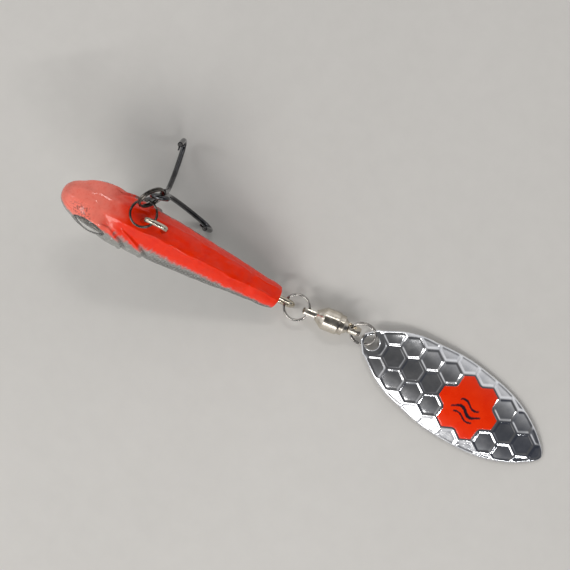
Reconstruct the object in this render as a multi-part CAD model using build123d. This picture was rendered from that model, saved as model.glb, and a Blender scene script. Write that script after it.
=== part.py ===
from build123d import *
import os
from math import sin, cos, tan, radians, pi, sqrt, atan2

# ------------------------------------------------------------------
# Tail-spinner lure, lying on its hook, belly up.  Millimetres.
# Laid out with the table at z = 0 and +X from nose to blade tip;
# at the end everything is shifted so that the origin is the bottom
# centre of the whole assembly's bounding box.
# ------------------------------------------------------------------

# --- cast body -----------------------------------------------------
NOSE = Vector(-44.6, -2.5, 17.3)      # start of the body's own axis
TAIL = Vector(0.2, -2.9, 3.0)         # end of the body's own axis
ROLL = 14.0                           # belly leans towards +Y
# station from the nose, half width, belly height, back depth
SECTIONS = [
    (0.10, 0.80, 0.9, 0.9),
    (0.80, 2.00, 2.2, 2.3),
    (2.20, 2.95, 3.3, 3.7),
    (4.60, 3.75, 4.4, 5.0),
    (8.00, 4.25, 5.5, 5.2),
    (12.0, 4.50, 6.2, 5.4),
    (17.0, 4.60, 6.5, 5.5),
    (23.0, 4.35, 6.2, 5.4),
    (29.0, 3.95, 5.4, 5.0),
    (35.0, 3.45, 4.5, 4.1),
    (40.5, 2.95, 3.6, 3.2),
    (44.8, 2.60, 2.9, 2.6),
    (46.3, 2.30, 2.5, 2.2),
]
GILL_STEP = 0.32                      # how far the gill covers stand out
EYE_S, EYE_B = 7.0, 0.6               # eye centre: station, height on the flank
EYE_D = 6.6                           # pocket and eye diameter
EYE_FOIL_T = 0.25
EYE_DOME_H = 0.95
EYE_YAW = 9.0                         # the cheeks face forward by this much

# --- through-wire ---------------------------------------------------
WIRE_D = 1.0
HANG_S = 16.9                         # station of the belly hanger
HANG_HALF = 2.1                       # half of its span, wire centre
HANG_TOP = 9.1                        # crown height above the body axis
TIE_S = 13.2                          # station of the line tie on the back
TIE_HALF = 1.6
TIE_TOP = -8.3
TAIL_EYE_X = 49.9                     # wire centre of the tail loop
TAIL_EYE_HALF = 1.35

# --- split rings: centre, axis, outer diameter, wire ---------------
RING_A = dict(c=(-28.932, 0.146, 20.451), n=(0.2886, -0.0824, 0.9539), od=5.4, w=0.42, a0=40)
RING_B = dict(c=(-28.804, 3.367, 21.875), n=(0.7901, -0.5237, 0.3186), od=5.4, w=0.42, a0=200)
RING_C = dict(c=(4.0, -2.85, 2.50), n=(0.04, -0.10, 1.0), od=5.5, w=0.46, a0=250)
RING_D = dict(c=(17.849, -1.734, 2.028), n=(0.0519, -0.5961, 0.8012), od=5.4, w=0.38, a0=70)

# --- treble hook ----------------------------------------------------
HOOK_FOOT = Vector(-27.7, 6.35, 0.0)
HOOK_LEAN = 5.5                       # towards -Y
HOOK_WIRE = 1.0
HOOK_R = 10.4                         # axis to the outermost wire centre
HOOK_LEN = 19.4                       # bend bottom to eye centre
HOOK_TIP_H = 6.7                      # where the ground point starts
HOOK_ANG = (102.5, 222.5, 342.5)      # single, then the pair's two arms
HOOK_EYE_R = 1.42
TIP_L = 1.8                           # ground point beyond the wire's end

# --- ball-bearing swivel -------------------------------------------
SW_START = Vector(5.2, -2.75, 2.38)
SW_END = Vector(17.3, -1.75, 2.38)
BARREL_D = 4.5

# --- blade -----------------------------------------------------------
BLADE_HOLE = Vector(20.1, -2.5, 0.742)   # datum under the hole
BLADE_AXIS = -7.7
BLADE_PITCH = 1.52                    # hole end held up by its ring
BLADE_T = 0.55
BLADE_RT, BLADE_RL = 16.0, 116.0      # transverse and lengthwise radii
HOLE_D = 3.0
OUTLINE = [(-2.2, 0), (-1.5, 1.4), (-0.3, 2.8), (0.4, 3.1), (4.0, 5.3),
           (7.9, 6.8), (10.9, 7.3), (15.4, 8.0), (19.0, 8.2), (23.8, 7.9),
           (27.6, 7.4), (31.5, 6.3), (35.5, 4.35), (38.0, 2.6), (39.6, 1.2),
           (40.2, 0)]
HEX_PITCH, HEX_RIDGE, HEX_DEPTH = 4.33, 0.55, 0.12
HEX_U0 = 22.5                         # centre of the middle cell

os.makedirs("parts", exist_ok=True)
V = Vector


def plane_at(origin, xdir, zdir):
    return Plane(origin=origin, x_dir=xdir, z_dir=zdir)


def swept(points, d, tangents=None):
    path = Spline(*points, tangents=tangents) if tangents else Spline(*points)
    t0 = path % 0
    return sweep(Plane(origin=path @ 0, z_dir=t0) * Circle(d / 2), path=path)


# ------------------------------------------------------------------ body
bx = (TAIL - NOSE).normalized()
up = (V(0, 0, 1) - bx * V(0, 0, 1).dot(bx)).normalized()
bz = up.rotate(Axis((0, 0, 0), tuple(bx)), -ROLL)
BODY = plane_at(NOSE, bx, bz)


def section(s, w, hb, hk, grow=0.0):
    w = w + grow
    f = 0.42 * w
    half = [(f, hb - 0.08), (0.78 * w, 0.66 * hb), (w, 0.05 * hb),
            (0.86 * w, -0.52 * hk), (0.42 * w, -0.90 * hk)]
    pts = [(0, hb)] + half + [(0, -hk)] + [(-a, b) for a, b in reversed(half)]
    sk = Plane(origin=(s, 0, 0), x_dir=(0, 1, 0), z_dir=(1, 0, 0))
    e = Spline(*[sk.from_local_coords(V(a, b, 0)) for a, b in pts], periodic=True)
    return Face(Wire(e))


core = loft([section(*r) for r in SECTIONS])
cover = loft([section(*r, grow=GILL_STEP) for r in SECTIONS[1:9]])


def side_prism(pts):
    side = Plane(origin=(0, 12, 0), x_dir=(1, 0, 0), z_dir=(0, -1, 0))
    return extrude(side * make_face(Spline(*pts, periodic=True)), 24)


# local (station, height) seen from the side, two overlapping covers
gill_1 = side_prism([(8.5, 2.6), (11.6, 3.4), (14.1, 1.2), (14.5, -1.4),
                     (12.6, -4.2), (9.2, -4.6), (6.6, -2.5), (6.4, 0.5)])
gill_2 = side_prism([(11.0, 3.9), (15.6, 3.4), (18.7, 1.2), (18.9, -1.6),
                     (16.6, -4.3), (12.0, -4.7), (9.0, -2.6), (9.0, 1.5)])
plates = (cover & gill_1) + (loft([section(*r, grow=GILL_STEP * 0.55)
                                   for r in SECTIONS[1:9]]) & gill_2)
casting = core + plates


def eye_plane(side):
    # +1 is the fish's own left flank in this pose, -1 the right one
    a = radians(EYE_YAW)
    n = V(-sin(a), side * cos(a), 0)
    o = V(EYE_S, side * 3.95, EYE_B)
    return Plane(origin=o, x_dir=V(cos(a), side * sin(a), 0), z_dir=n)


eyes = {}
for name, side in (("left", 1), ("right", -1)):
    ep = eye_plane(side)
    # brow ring that carries the eye, then the pocket
    casting += ep * Pos(0, 0, -2.4) * Cylinder(EYE_D / 2 + 0.25, 2.6,
                                               align=(Align.CENTER, Align.CENTER, Align.MIN))
    casting -= ep * Pos(0, 0, -0.25) * Cylinder(EYE_D / 2, 3.0,
                                                align=(Align.CENTER, Align.CENTER, Align.MIN))
    foil = ep * Pos(0, 0, -0.25) * Cylinder(EYE_D / 2 - 0.02, EYE_FOIL_T,
                                            align=(Align.CENTER, Align.CENTER, Align.MIN))
    rs = ((EYE_D / 2 - 0.05) ** 2 + EYE_DOME_H ** 2) / (2 * EYE_DOME_H)
    ball = Pos(0, 0, EYE_DOME_H - rs) * Sphere(rs)
    cap = ball & Pos(0, 0, 0) * Cylinder(EYE_D, 2, align=(Align.CENTER, Align.CENTER, Align.MIN))
    eyes[name] = (foil, ep * cap)

# --------------------------------------------------------- through-wire
def bent(points, r):
    """Round-cornered wire path in the body's middle plane."""
    return FilletPolyline(*[V(a, 0, b) for a, b in points], radius=r)


wire_path = bent([
    (43.0, -1.2), (TAIL_EYE_X, -TAIL_EYE_HALF), (TAIL_EYE_X, TAIL_EYE_HALF),
    (43.0, 1.3), (HANG_S + HANG_HALF, 1.6), (HANG_S + HANG_HALF, HANG_TOP),
    (HANG_S - HANG_HALF, HANG_TOP), (HANG_S - HANG_HALF, 1.6),
    (9.6, 1.4), (9.6, -2.2), (TIE_S - TIE_HALF, -2.4), (TIE_S - TIE_HALF, TIE_TOP),
    (TIE_S + TIE_HALF, TIE_TOP), (TIE_S + TIE_HALF, -2.4), (19.5, -2.4)], 1.3)
wire_frame = sweep(Plane(origin=wire_path @ 0, z_dir=wire_path % 0) * Circle(WIRE_D / 2),
                   path=wire_path)
casting -= wire_frame
# epoxy fillet where the hanger leaves the belly is part of the casting's coat

body_casting = BODY * casting
wire_frame = BODY * wire_frame


# ----------------------------------------------------------- split rings
def split_ring(c, n, od, w, a0):
    """Two turns of round wire, crossing over once, cut at both ends."""
    r = od / 2 - w / 2
    h = w / 2 + 0.012
    gap = 34.0
    p = Plane(origin=c, z_dir=n)

    def at(a, z):
        return V(r * cos(radians(a)), r * sin(radians(a)), z)

    a1, a2 = a0 + gap / 2, a0 + 360 - gap / 2
    mid = (a1 + a2) / 2
    low = ThreePointArc(at(a1, -h), at(mid, -h), at(a2, -h))
    high = ThreePointArc(at(a2 + gap, h), at(mid + 360, h), at(a2 + 360, h))
    cross = Spline(at(a2, -h), at(a2 + gap / 2, 0), at(a2 + gap, h),
                   tangents=[low % 1, high % 0])
    path = Wire([low, cross, high])
    ring = sweep(Plane(origin=low @ 0, z_dir=low % 0) * Circle(w / 2), path=path)
    return p * ring


rings = {k: split_ring(**v) for k, v in
         (("a", RING_A), ("b", RING_B), ("c", RING_C), ("d", RING_D))}

# ----------------------------------------------------------------- hook
lean = radians(HOOK_LEAN)
HOOK = Plane(origin=HOOK_FOOT, x_dir=(1, 0, 0), z_dir=(0, -sin(lean), cos(lean)))
rw = HOOK_WIRE / 2
rs_ = rw / cos(radians(30)) + 0.012      # shank wires packed three round one axis


SHANK_Z0 = 10.8                          # above this the three wires run straight


def arm_pts(ang):
    """Centreline of one arm from the straight shank down round the bend."""
    c_, s_ = cos(radians(ang)), sin(radians(ang))
    prof = [(rs_, SHANK_Z0), (1.5, 7.6), (4.3, 3.6), (7.2, 1.0),
            (8.7, 0.12), (9.75, 0.35), (HOOK_R, 1.6), (HOOK_R - 0.22, 4.0),
            (HOOK_R - 0.8, HOOK_TIP_H)]
    return [V(r * c_, r * s_, z) for r, z in prof]


def arm_edge(ang):
    p = arm_pts(ang)
    d = p[-1] - p[-2]
    return Spline(*p, tangents=[(0, 0, -1), d.normalized()])


def shank_at(ang, z):
    return V(rs_ * cos(radians(ang)), rs_ * sin(radians(ang)), z)


pair_a, pair_b = HOOK_ANG[1], HOOK_ANG[2]
A0, B0 = shank_at(pair_a, 0), shank_at(pair_b, 0)
mid_ = (A0 + B0) * 0.5
ax_ = (A0 - B0).normalized()
NECK_Z = HOOK_LEN - 2.5


def eye_pt(t):
    a = radians(t)
    return V(mid_.X, mid_.Y, HOOK_LEN) + ax_ * (HOOK_EYE_R * cos(a)) + V(0, 0, HOOK_EYE_R * sin(a))


ea, eb = arm_edge(pair_a), arm_edge(pair_b)
la = Line(shank_at(pair_a, SHANK_Z0), shank_at(pair_a, NECK_Z))
lb = Line(shank_at(pair_b, NECK_Z), shank_at(pair_b, SHANK_Z0))
eye_loop = Spline(la @ 1, *[eye_pt(t) for t in (-38, 0, 45, 90, 135, 180, 218)], lb @ 0,
                  tangents=[(0, 0, 1), (0, 0, -1)])
fa = Spline(*list(reversed(arm_pts(pair_a))),
            tangents=[(ea % 1) * -1, (0, 0, 1)])
pair_path = Wire([fa, la, eye_loop, lb, eb])
start_pt, start_dir = fa @ 0, fa % 0
hook_pair = sweep(Plane(origin=start_pt, z_dir=start_dir) * Circle(rw), path=pair_path)
es = arm_edge(HOOK_ANG[0])
ls = Line(shank_at(HOOK_ANG[0], NECK_Z - 1.2), shank_at(HOOK_ANG[0], SHANK_Z0))
single_path = Wire([ls, es])
hook_single = sweep(Plane(origin=ls @ 0, z_dir=ls % 0) * Circle(rw), path=single_path)


def ground(edge):
    """Point an arm: a cone carries its last stretch on to the tip."""
    q = Plane(origin=edge @ 1, z_dir=edge % 1)
    return q, Pos(0, 0, -0.4) * Cone(rw * 0.99, 0.05, TIP_L,
                                     align=(Align.CENTER, Align.CENTER, Align.MIN))


def barb(q, ang):
    """A sliver raised on the inner side of the point, facing the shank."""
    inward = V(-cos(radians(ang)), -sin(radians(ang)), 0)
    o = q.origin - q.z_dir * 0.2
    inw = (inward - q.z_dir * inward.dot(q.z_dir)).normalized()
    f = Plane(origin=o, x_dir=inw, z_dir=q.z_dir.cross(inw))
    tri = make_face(Polyline((0.0, 0.9), (0.95, -1.25), (0.35, -0.75), (0.0, -0.6), close=True))
    return extrude(f * tri, 0.16, both=True)


arms = []
for edge, ang in ((ea, pair_a), (eb, pair_b), (es, HOOK_ANG[0])):
    q, cone = ground(edge)
    arms.append(q * cone + barb(q, ang))
hook_pair = hook_pair + arms[0] + arms[1]
hook_single = hook_single + arms[2]
# braze: fills the core between the three shank wires and wets their flanks
BRAZE_Z0, BRAZE_Z1 = SHANK_Z0 + 0.3, NECK_Z - 1.4
hook_braze = Pos(0, 0, BRAZE_Z0) * Cylinder(rs_ + 0.10, BRAZE_Z1 - BRAZE_Z0,
                                            align=(Align.CENTER, Align.CENTER, Align.MIN))
for ang in HOOK_ANG:
    hook_braze -= Pos(*tuple(shank_at(ang, BRAZE_Z0 - 1))) * Cylinder(
        rw, 12, align=(Align.CENTER, Align.CENTER, Align.MIN))
print("braze solids", len(hook_braze.solids()), hook_braze.volume)

lift = min((HOOK * hook_pair).bounding_box().min.Z, (HOOK * hook_single).bounding_box().min.Z)
print('hook lift', -lift)
HOOK = Plane(origin=HOOK_FOOT + V(0, 0, -lift), x_dir=(1, 0, 0), z_dir=(0, -sin(lean), cos(lean)))
hook_pair, hook_single, hook_braze = HOOK * hook_pair, HOOK * hook_single, HOOK * hook_braze

# --------------------------------------------------------------- swivel
# own axis along +Z from the front eye (0) to the rear eye (SW_L)
sw_dir = SW_END - SW_START
SW_L = sw_dir.length
sw_z = sw_dir.normalized()
SW = Plane(origin=SW_START, x_dir=(sw_z.cross(V(0, 0, 1))).normalized(), z_dir=sw_z)
# local x is across (towards -Y), local y is up


def turned(pts):
    """Solid of revolution about the swivel axis from (radius, z) points."""
    f = make_face(Polyline(*[(r, 0, z) for r, z in pts], close=True))
    return revolve(f, Axis.Z)


def cross_hole(solid, z, r, z_flat, half):
    """Drill the eye across the axis and flatten the two cheeks round it."""
    solid -= Pos(0, 0, z) * Rot(0, 90, 0) * Cylinder(r, 6)
    for k in (-1, 1):
        solid -= Pos(k * (half + 1.5), 0, (z_flat[0] + z_flat[1]) / 2) * Box(3.0, 4.0, z_flat[1] - z_flat[0])
    return solid


FRONT_HOLE, REAR_HOLE, EYE_HOLE_R = 1.30, 1.85, 0.86
TONGUE_HALF = 0.56
STEM_ROLL = 27.2                      # the free stem has turned by this much
BR = BARREL_D / 2
bore_r = 1.72
# front shell: eye stem and barrel in one, open at the back, cap pressed in
barrel = turned([(0, 0.0), (0.70, 0.08), (1.08, 0.42), (1.22, 1.0), (1.22, 2.6), (1.08, 2.95),
                 (1.30, 3.2), (BR - 0.25, 4.15), (BR, 4.55), (BR, 7.35), (1.98, 7.75),
                 (1.98, 8.55), (bore_r, 8.55), (bore_r, 4.75), (0.9, 4.2), (0, 4.2)])
barrel = cross_hole(barrel, FRONT_HOLE, EYE_HOLE_R, (-0.2, 2.75), TONGUE_HALF)
# closing ring, pressed into the barrel's mouth, with its running bore
cap = turned([(0.74, 7.50), (bore_r, 7.50), (bore_r, 8.55), (1.55, 8.75), (1.15, 9.35), (0.74, 9.35)])
cap -= turned([(0.0, 7.0), (0.74, 7.0), (0.74, 9.9), (0, 9.9)])
# rear stem: rod with a flange between the two ball rows, flattened eye
stem = turned([(0, 5.30), (0.68, 5.30), (0.68, 5.95), (1.10, 5.95), (1.10, 6.35),
               (0.68, 6.35), (0.68, 9.40), (1.02, 9.62), (1.20, 10.2), (1.20, SW_L - 0.75),
               (0.72, SW_L - 0.06), (0, SW_L)])
stem = cross_hole(stem, SW_L - REAR_HOLE, EYE_HOLE_R, (9.95, SW_L + 0.2), TONGUE_HALF)
stem = Rot(0, 0, STEM_ROLL) * stem
BALL = 0.46
ball_r = 1.20
balls = Compound(children=[Pos(ball_r * cos(2 * pi * i / 7), ball_r * sin(2 * pi * i / 7), z) * Sphere(BALL)
                           for z in (5.40, 6.90) for i in range(7)])
swivel_barrel, swivel_cap, swivel_stem, swivel_balls = (SW * k for k in (barrel, cap, stem, balls))

# ---------------------------------------------------------------- blade
ba = radians(BLADE_AXIS)
bp = radians(BLADE_PITCH)
BL = Plane(origin=BLADE_HOLE, x_dir=(cos(ba) * cos(bp), sin(ba) * cos(bp), -sin(bp)),
           z_dir=(cos(ba) * sin(bp), sin(ba) * sin(bp), cos(bp)))
U_TOP = HEX_U0 - 3.0                     # crown of the spoon along its length
crown_z = 2.75
cx, cz = U_TOP, crown_z - BLADE_RL


def spoon(depth):
    """Solid torus whose outer surface lies `depth` under the blade's face."""
    return Pos(cx, 0, cz) * Rot(90, 0, 0) * Torus(BLADE_RL - BLADE_RT, BLADE_RT - depth)


rim = [(u, w) for u, w in OUTLINE]
plan = make_face(Spline(*(rim + [(u, -w) for u, w in reversed(rim[1:-1])]), periodic=True))
slab = extrude(plan, 8)
blade = (slab & spoon(0)) - spoon(BLADE_T)
blade -= Pos(0, 0, -1) * Cylinder(HOLE_D / 2, 12)
blade = blade.solids().sort_by(SortBy.VOLUME)[-1]

rp = HEX_PITCH
cells = []
for i in range(-8, 9):
    for j in range(-9, 10):
        u = HEX_U0 + rp * (i + j * 0.5)
        v = rp * j * sqrt(3) / 2
        cells.append((u, v))
# straight-sided copy of the outline, set in by the plain rim
margin = 0.5
inset = []
for (u0, w0), (u1, w1), (u2, w2) in zip(OUTLINE, OUTLINE[1:], OUTLINE[2:]):
    run = sqrt((u2 - u0) ** 2 + (w2 - w0) ** 2)
    u, w = u1 + margin * (w2 - w0) / run, w1 - margin * (u2 - u0) / run
    if w > 0.5:
        inset.append((u, w))
inner = make_face(Polyline(*([(-1.6, 0)] + inset + [(39.4, 0)]
                             + [(u, -w) for u, w in reversed(inset)]), close=True))
inner_slab = extrude(inner, 8)
hexf = RegularPolygon((rp - HEX_RIDGE) / sqrt(3), 6, rotation=30)
keep, kept = [], []
for u, v in cells:
    if -1 < u < 41 and abs(v) < 9 and sqrt(u * u + v * v) > 3.4:
        keep.append(Pos(u, v, 0) * extrude(hexf, 8))
        kept.append((u, v))
print("cells", len(keep))
# the middle cell and its six neighbours run together as one shallow tray
hr = (rp - HEX_RIDGE) / sqrt(3)
tray = []
for k in range(0, 360, 60):
    cu_, cv_ = HEX_U0 + rp * cos(radians(k)), rp * sin(radians(k))
    tray += [(cu_ + hr * cos(radians(k + a)), cv_ + hr * sin(radians(k + a))) for a in (-90, -30, 30, 90)]
flower_slab = extrude(make_face(Polyline(*tray, close=True)), 8)
keep = [q for q, c in zip(keep, kept) if sqrt((c[0] - HEX_U0) ** 2 + c[1] ** 2) > rp * 1.1]
pans = Part() + keep + flower_slab
pans = pans & inner_slab
pans = pans - spoon(HEX_DEPTH)
blade = blade - pans
enamel = (flower_slab & spoon(0.03)) - spoon(HEX_DEPTH)
blade, blade_emblem = BL * blade, BL * enamel
right_eye_foil, right_eye_dome = (BODY * Part(k.wrapped) for k in eyes["right"])
left_eye_foil, left_eye_dome = (BODY * Part(k.wrapped) for k in eyes["left"])

nodes = {
    "body_casting": body_casting, "wire_frame": wire_frame,
    "right_eye_foil": right_eye_foil, "right_eye_dome": right_eye_dome,
    "left_eye_foil": left_eye_foil, "left_eye_dome": left_eye_dome,
    "hook_ring_inner": rings["a"], "hook_ring_outer": rings["b"],
    "hook_pair": hook_pair, "hook_single": hook_single, "hook_braze": hook_braze,
    "tail_split_ring": rings["c"], "swivel_barrel": swivel_barrel, "swivel_cap": swivel_cap,
    "swivel_stem": swivel_stem, "swivel_balls": swivel_balls,
    "blade_split_ring": rings["d"], "blade": blade, "blade_emblem": blade_emblem,
}
lo = [min(tuple(n.bounding_box().min)[i] for n in nodes.values()) for i in range(3)]
hi = [max(tuple(n.bounding_box().max)[i] for n in nodes.values()) for i in range(3)]
SHIFT = V(-(lo[0] + hi[0]) / 2, -(lo[1] + hi[1]) / 2, -lo[2])
for name, n in nodes.items():
    n = Pos(*tuple(SHIFT)) * n
    nodes[name] = n
    export_step(n, f"parts/{name}.step")
    bb = n.bounding_box()
    print(f"{name:18s} v={n.volume:9.3f} valid={n.is_valid} solids={len(n.solids())} "
          f"x[{bb.min.X:.2f},{bb.max.X:.2f}] y[{bb.min.Y:.2f},{bb.max.Y:.2f}] z[{bb.min.Z:.2f},{bb.max.Z:.2f}]")
print("SHIFT", tuple(SHIFT), "lo", lo, "hi", hi)
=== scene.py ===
import bpy, bmesh, math
import numpy as np
from mathutils import Vector, Matrix, noise


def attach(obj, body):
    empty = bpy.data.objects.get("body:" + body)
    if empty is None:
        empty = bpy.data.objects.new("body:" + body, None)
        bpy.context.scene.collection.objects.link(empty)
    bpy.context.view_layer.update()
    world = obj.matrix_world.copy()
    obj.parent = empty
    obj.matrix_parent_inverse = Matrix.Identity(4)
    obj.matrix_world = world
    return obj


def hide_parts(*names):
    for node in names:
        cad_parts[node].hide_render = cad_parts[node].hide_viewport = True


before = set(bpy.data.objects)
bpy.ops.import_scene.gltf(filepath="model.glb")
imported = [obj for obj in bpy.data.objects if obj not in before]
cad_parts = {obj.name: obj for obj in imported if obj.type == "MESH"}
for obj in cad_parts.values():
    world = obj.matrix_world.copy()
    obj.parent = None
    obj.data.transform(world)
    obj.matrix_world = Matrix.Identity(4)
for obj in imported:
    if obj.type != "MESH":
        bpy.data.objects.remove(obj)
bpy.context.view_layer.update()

MM = 0.001
SHIFT = np.array((-7.583644, -1.617972, 0.000000))                    # layout (mm) -> row frame (mm)
rng = np.random.default_rng(7)


def row(p):
    return (np.asarray(p, float) + SHIFT) * MM


def unit(v):
    v = np.asarray(v, float)
    return v / np.linalg.norm(v)


def smooth(x, a, b):
    t = np.clip((np.asarray(x, float) - a) / (b - a), 0, 1)
    return t * t * (3 - 2 * t)


# ------------------------------------------------------------ the body's frame
NOSE = np.array([-44.6, -2.5, 17.3])
TAIL = np.array([0.2, -2.9, 3.0])
ROLL = math.radians(14.0)
BX = unit(TAIL - NOSE)
UP = unit(np.array([0, 0, 1.0]) - BX * BX[2])
BZ = UP * math.cos(-ROLL) + np.cross(BX, UP) * math.sin(-ROLL)
BY = np.cross(BZ, BX)


def body_pt(s, t, b):
    s, t, b = (np.asarray(a, float)[..., None] for a in (s, t, b))
    return row(NOSE + s * BX + t * BY + b * BZ)


SEC = np.array([(0.10, 0.80, 0.9, 0.9), (0.80, 2.00, 2.2, 2.3), (2.20, 2.95, 3.3, 3.7),
                (4.60, 3.75, 4.4, 5.0), (8.00, 4.25, 5.5, 5.2), (12.0, 4.50, 6.2, 5.4),
                (17.0, 4.60, 6.5, 5.5), (23.0, 4.35, 6.2, 5.4), (29.0, 3.95, 5.4, 5.0),
                (35.0, 3.45, 4.5, 4.1), (40.5, 2.95, 3.6, 3.2), (44.8, 2.60, 2.9, 2.6),
                (46.3, 2.30, 2.5, 2.2)])


def pchip(x, xs, ys):
    """Monotone cubic through (xs, ys)."""
    h = np.diff(xs); d = np.diff(ys) / h
    m = np.zeros_like(ys)
    for i in range(1, len(xs) - 1):
        if d[i - 1] * d[i] > 0:
            w1, w2 = 2 * h[i] + h[i - 1], h[i] + 2 * h[i - 1]
            m[i] = (w1 + w2) / (w1 / d[i - 1] + w2 / d[i])
    m[0], m[-1] = d[0], d[-1]
    i = np.clip(np.searchsorted(xs, x) - 1, 0, len(xs) - 2)
    t = (x - xs[i]) / h[i]
    return ((1 + 2 * t) * (1 - t) ** 2 * ys[i] + t * (1 - t) ** 2 * h[i] * m[i]
            + t * t * (3 - 2 * t) * ys[i + 1] + t * t * (t - 1) * h[i] * m[i + 1])


def section_dims(s):
    r = np.sqrt(np.maximum(s, 0))
    x = np.r_[0.0, np.sqrt(SEC[:, 0])]
    out = []
    for c in (1, 2, 3):
        out.append(pchip(r, x, np.r_[0.0, SEC[:, c]]))
    return out


# half outline as fractions of (half width, belly height or back depth)
HALF = [(0.0, 0.985, 1), (0.18, 0.985, 1), (0.33, 0.975, 1), (0.43, 0.935, 1), (0.60, 0.815, 1), (0.80, 0.62, 1),
        (0.94, 0.34, 1), (1.0, 0.05, 1), (0.985, -0.26, -1), (0.87, -0.54, -1), (0.66, -0.77, -1),
        (0.42, -0.91, -1), (0.2, -0.98, -1), (0.0, -1.0, -1)]


def half_curve(n):
    """Dense half outline, even in length for a typical section; returns fractions."""
    P = np.array([(a * 4.5, b * (6.3 if k > 0 else 5.4)) for a, b, k in HALF])
    # Catmull-Rom through the points
    Q = np.vstack([[-P[1][0], P[1][1]], P, [-P[-2][0], P[-2][1]]])
    out = []
    for i in range(1, len(Q) - 2):
        p0, p1, p2, p3 = Q[i - 1], Q[i], Q[i + 1], Q[i + 2]
        for t in np.linspace(0, 1, 24, endpoint=False):
            out.append(0.5 * (2 * p1 + (p2 - p0) * t + (2 * p0 - 5 * p1 + 4 * p2 - p3) * t * t
                              + (3 * p1 - p0 - 3 * p2 + p3) * t ** 3))
    out.append(Q[-2]); out = np.array(out)
    d = np.r_[0, np.cumsum(np.linalg.norm(np.diff(out, axis=0), axis=1))]
    u = np.linspace(0, d[-1], n)
    x = np.interp(u, d, out[:, 0]) / 4.5
    y = np.interp(u, d, out[:, 1])
    return x, np.where(y > 0, y / 6.3, y / 5.4), u / d[-1]


def new_obj(name, verts, faces, smooth_shade=True):
    me = bpy.data.meshes.new(name)
    me.from_pydata([tuple(map(float, v)) for v in verts], [], [tuple(map(int, f)) for f in faces])
    me.validate()
    me.update()
    if smooth_shade:
        me.polygons.foreach_set("use_smooth", [True] * len(me.polygons))
    ob = bpy.data.objects.new(name, me)
    bpy.context.scene.collection.objects.link(ob)
    return ob


def attr(ob, name, values, domain="POINT"):
    a = ob.data.attributes.new(name, "FLOAT", domain)
    a.data.foreach_set("value", np.asarray(values, float).ravel().tolist())


def col_attr(ob, name, rgb):
    a = ob.data.color_attributes.new(name, "FLOAT_COLOR", "POINT")
    c = np.ones((len(rgb), 4)); c[:, :3] = rgb
    a.data.foreach_set("color", c.ravel().tolist())


def set_mat(ob, mat):
    ob.data.materials.clear()
    ob.data.materials.append(mat)


def srgb(r, g, b):
    c = np.array([r, g, b], float) / 255
    return tuple(np.where(c <= 0.04045, c / 12.92, ((c + 0.055) / 1.055) ** 2.4).tolist())


# ------------------------------------------------------------------- materials
class N:
    """A small helper round a node tree."""

    def __init__(self, name):
        self.m = bpy.data.materials.new(name)
        self.m.use_nodes = True
        self.t = self.m.node_tree
        self.b = self.t.nodes["Principled BSDF"]

    def n(self, kind, **kw):
        x = self.t.nodes.new(kind)
        for k, v in kw.items():
            if k in x.inputs.keys():
                x.inputs[k].default_value = v
            else:
                setattr(x, k, v)
        return x

    def l(self, a, b):
        self.t.links.new(a, b)

    def set(self, **kw):
        for k, v in kw.items():
            self.b.inputs[k.replace("_", " ")].default_value = v
        return self

    def coords(self, kind="Object", scale=1.0):
        tc = self.n("ShaderNodeTexCoord")
        mp = self.n("ShaderNodeMapping")
        mp.inputs["Scale"].default_value = (scale,) * 3 if not isinstance(scale, tuple) else scale
        self.l(tc.outputs[kind], mp.inputs["Vector"])
        return mp.outputs["Vector"]

    def noise(self, vec, scale, detail=3.0, rough=0.55, dim="3D"):
        x = self.n("ShaderNodeTexNoise")
        x.inputs["Scale"].default_value = scale
        x.inputs["Detail"].default_value = detail
        x.inputs["Roughness"].default_value = rough
        self.l(vec, x.inputs["Vector"])
        return x.outputs["Fac"]

    def ramp(self, fac, stops):
        x = self.n("ShaderNodeValToRGB")
        el = x.color_ramp.elements
        while len(el) < len(stops):
            el.new(0.5)
        for e, (p, c) in zip(el, stops):
            e.position = p
            e.color = (*c, 1.0) if len(c) == 3 else c
        self.l(fac, x.inputs["Fac"])
        return x.outputs["Color"]

    def rng(self, fac, a, b, c, d):
        x = self.n("ShaderNodeMapRange")
        for i, v in zip((1, 2, 3, 4), (a, b, c, d)):
            x.inputs[i].default_value = v
        self.l(fac, x.inputs[0])
        return x.outputs[0]

    def mix(self, fac, a, b, mode="MIX"):
        x = self.n("ShaderNodeMix", data_type="RGBA", blend_type=mode)
        for sock, v in ((x.inputs[0], fac), (x.inputs[6], a), (x.inputs[7], b)):
            if isinstance(v, (int, float)):
                sock.default_value = v
            elif isinstance(v, tuple):
                sock.default_value = (*v, 1.0) if len(v) == 3 else v
            else:
                self.l(v, sock)
        return x.outputs[2]

    def math(self, op, a, b=0.0, c=None):
        x = self.n("ShaderNodeMath", operation=op)
        for i, v in enumerate((a, b) if c is None else (a, b, c)):
            if isinstance(v, (int, float)):
                x.inputs[i].default_value = v
            else:
                self.l(v, x.inputs[i])
        return x.outputs[0]

    def attr(self, name):
        x = self.n("ShaderNodeAttribute")
        x.attribute_name = name
        return x

    def bump(self, h, strength=0.3, dist=0.0001, prev=None):
        x = self.n("ShaderNodeBump")
        x.inputs["Strength"].default_value = strength
        x.inputs["Distance"].default_value = dist
        self.l(h, x.inputs["Height"])
        if prev is not None:
            self.l(prev, x.inputs["Normal"])
        return x.outputs["Normal"]


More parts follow.
